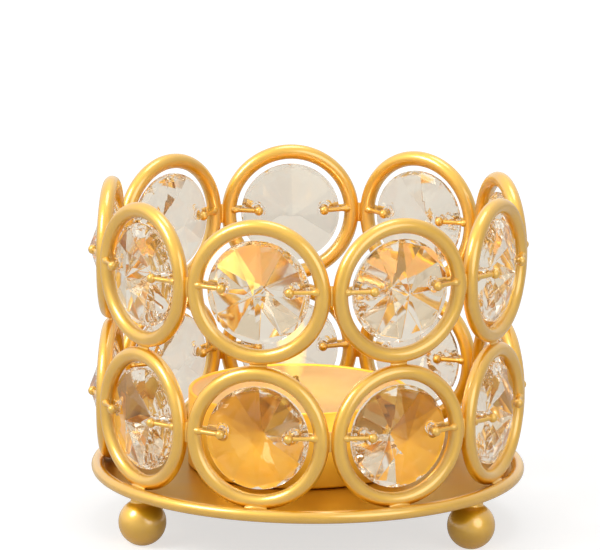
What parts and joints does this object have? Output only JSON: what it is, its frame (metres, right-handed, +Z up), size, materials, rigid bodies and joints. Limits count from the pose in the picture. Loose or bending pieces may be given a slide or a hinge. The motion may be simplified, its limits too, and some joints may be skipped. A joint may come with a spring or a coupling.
{
  "type": "tealight holder",
  "caption": "Drum-shaped tealight holder of brazed gold wire rings, each hung with a clear faceted crystal, on a round plate with ball feet; the tealight lifts out.",
  "frame": {"origin": "on the axis of the ring drum, at the floor that the ball feet stand on", "axes": "+Z up along the drum's axis, -Y towards the front of the picture, +X to the right of the picture"},
  "size_m": [0.0753, 0.0752, 0.0601],
  "materials": {
    "satin_gold": "satin gold plate",
    "clear_crystal": "clear, polished facets",
    "gold_foil": "drawn foil, satin gold",
    "cream_wax": "soft, slightly translucent wax",
    "cotton_wick": "charred braid",
    "tin_plate": "thin stamped plate"
  },
  "bodies": {
    "holder": {"base_plate": "satin_gold", "base_rim": "satin_gold", "foot_front_left": "satin_gold", "foot_front_right": "satin_gold", "foot_back": "satin_gold", "ring_lower_1": "satin_gold", "ring_lower_2": "satin_gold", "ring_lower_3": "satin_gold", "ring_lower_4": "satin_gold", "ring_lower_5": "satin_gold", "ring_lower_6": "satin_gold", "ring_lower_7": "satin_gold", "ring_lower_8": "satin_gold", "ring_lower_9": "satin_gold", "ring_upper_1": "satin_gold", "ring_upper_2": "satin_gold", "ring_upper_3": "satin_gold", "ring_upper_4": "satin_gold", "ring_upper_5": "satin_gold", "ring_upper_6": "satin_gold", "ring_upper_7": "satin_gold", "ring_upper_8": "satin_gold", "ring_upper_9": "satin_gold"},
    "crystal_lower_1": {"crystal_lower_1": "clear_crystal"},
    "crystal_lower_2": {"crystal_lower_2": "clear_crystal"},
    "crystal_lower_3": {"crystal_lower_3": "clear_crystal"},
    "crystal_lower_4": {"crystal_lower_4": "clear_crystal"},
    "crystal_lower_5": {"crystal_lower_5": "clear_crystal"},
    "crystal_lower_6": {"crystal_lower_6": "clear_crystal"},
    "crystal_lower_7": {"crystal_lower_7": "clear_crystal"},
    "crystal_lower_8": {"crystal_lower_8": "clear_crystal"},
    "crystal_lower_9": {"crystal_lower_9": "clear_crystal"},
    "crystal_upper_1": {"crystal_upper_1": "clear_crystal"},
    "crystal_upper_2": {"crystal_upper_2": "clear_crystal"},
    "crystal_upper_3": {"crystal_upper_3": "clear_crystal"},
    "crystal_upper_4": {"crystal_upper_4": "clear_crystal"},
    "crystal_upper_5": {"crystal_upper_5": "clear_crystal"},
    "crystal_upper_6": {"crystal_upper_6": "clear_crystal"},
    "crystal_upper_7": {"crystal_upper_7": "clear_crystal"},
    "crystal_upper_8": {"crystal_upper_8": "clear_crystal"},
    "crystal_upper_9": {"crystal_upper_9": "clear_crystal"},
    "tealight": {"tealight_cup": "gold_foil", "tealight_wax": "cream_wax", "tealight_wick": "cotton_wick", "wick_tab": "tin_plate"}
  },
  "joints": [
    {"name": "rock_lower_1", "type": "hinge", "parent": "holder", "child": "crystal_lower_1", "pos_m": [-0.0277, -0.02027, 0.02375], "axis": [0.5906, -0.807, 0], "range_deg": [-10, 10]},
    {"name": "rock_lower_2", "type": "hinge", "parent": "holder", "child": "crystal_lower_2", "pos_m": [-0.00819, -0.03333, 0.02375], "axis": [0.9711, -0.2385, 0], "range_deg": [-10, 10]},
    {"name": "rock_lower_3", "type": "hinge", "parent": "holder", "child": "crystal_lower_3", "pos_m": [0.01515, -0.0308, 0.02375], "axis": [0.8973, 0.4415, 0], "range_deg": [-10, 10]},
    {"name": "rock_lower_4", "type": "hinge", "parent": "holder", "child": "crystal_lower_4", "pos_m": [0.03141, -0.01385, 0.02375], "axis": [0.4035, 0.915, 0], "range_deg": [-10, 10]},
    {"name": "rock_lower_5", "type": "hinge", "parent": "holder", "child": "crystal_lower_5", "pos_m": [0.03296, 0.00958, 0.02375], "axis": [-0.279, 0.9603, 0], "range_deg": [-10, 10]},
    {"name": "rock_lower_6", "type": "hinge", "parent": "holder", "child": "crystal_lower_6", "pos_m": [0.0191, 0.02852, 0.02375], "axis": [-0.831, 0.5563, 0], "range_deg": [-10, 10]},
    {"name": "rock_lower_7", "type": "hinge", "parent": "holder", "child": "crystal_lower_7", "pos_m": [-0.00371, 0.03412, 0.02375], "axis": [-0.9942, -0.108, 0], "range_deg": [-10, 10]},
    {"name": "rock_lower_8", "type": "hinge", "parent": "holder", "child": "crystal_lower_8", "pos_m": [-0.02477, 0.02376, 0.02375], "axis": [-0.6921, -0.7218, 0], "range_deg": [-10, 10]},
    {"name": "rock_lower_9", "type": "hinge", "parent": "holder", "child": "crystal_lower_9", "pos_m": [-0.03425, 0.00228, 0.02375], "axis": [-0.0663, -0.9978, 0], "range_deg": [-10, 10]},
    {"name": "rock_upper_1", "type": "hinge", "parent": "holder", "child": "crystal_upper_1", "pos_m": [-0.0277, -0.02027, 0.04855], "axis": [0.5906, -0.807, 0], "range_deg": [-10, 10]},
    {"name": "rock_upper_2", "type": "hinge", "parent": "holder", "child": "crystal_upper_2", "pos_m": [-0.00819, -0.03333, 0.04855], "axis": [0.9711, -0.2385, 0], "range_deg": [-10, 10]},
    {"name": "rock_upper_3", "type": "hinge", "parent": "holder", "child": "crystal_upper_3", "pos_m": [0.01515, -0.0308, 0.04855], "axis": [0.8973, 0.4415, 0], "range_deg": [-10, 10]},
    {"name": "rock_upper_4", "type": "hinge", "parent": "holder", "child": "crystal_upper_4", "pos_m": [0.03141, -0.01385, 0.04855], "axis": [0.4035, 0.915, 0], "range_deg": [-10, 10]},
    {"name": "rock_upper_5", "type": "hinge", "parent": "holder", "child": "crystal_upper_5", "pos_m": [0.03296, 0.00958, 0.04855], "axis": [-0.279, 0.9603, 0], "range_deg": [-10, 10]},
    {"name": "rock_upper_6", "type": "hinge", "parent": "holder", "child": "crystal_upper_6", "pos_m": [0.0191, 0.02852, 0.04855], "axis": [-0.831, 0.5563, 0], "range_deg": [-10, 10]},
    {"name": "rock_upper_7", "type": "hinge", "parent": "holder", "child": "crystal_upper_7", "pos_m": [-0.00371, 0.03412, 0.04855], "axis": [-0.9942, -0.108, 0], "range_deg": [-10, 10]},
    {"name": "rock_upper_8", "type": "hinge", "parent": "holder", "child": "crystal_upper_8", "pos_m": [-0.02477, 0.02376, 0.04855], "axis": [-0.6921, -0.7218, 0], "range_deg": [-10, 10]},
    {"name": "rock_upper_9", "type": "hinge", "parent": "holder", "child": "crystal_upper_9", "pos_m": [-0.03425, 0.00228, 0.04855], "axis": [-0.0663, -0.9978, 0], "range_deg": [-10, 10]},
    {"name": "tealight_lift", "type": "slide", "parent": "holder", "child": "tealight", "axis": [0, 0, 1], "range_m": [0, 0.055]}
  ]
}
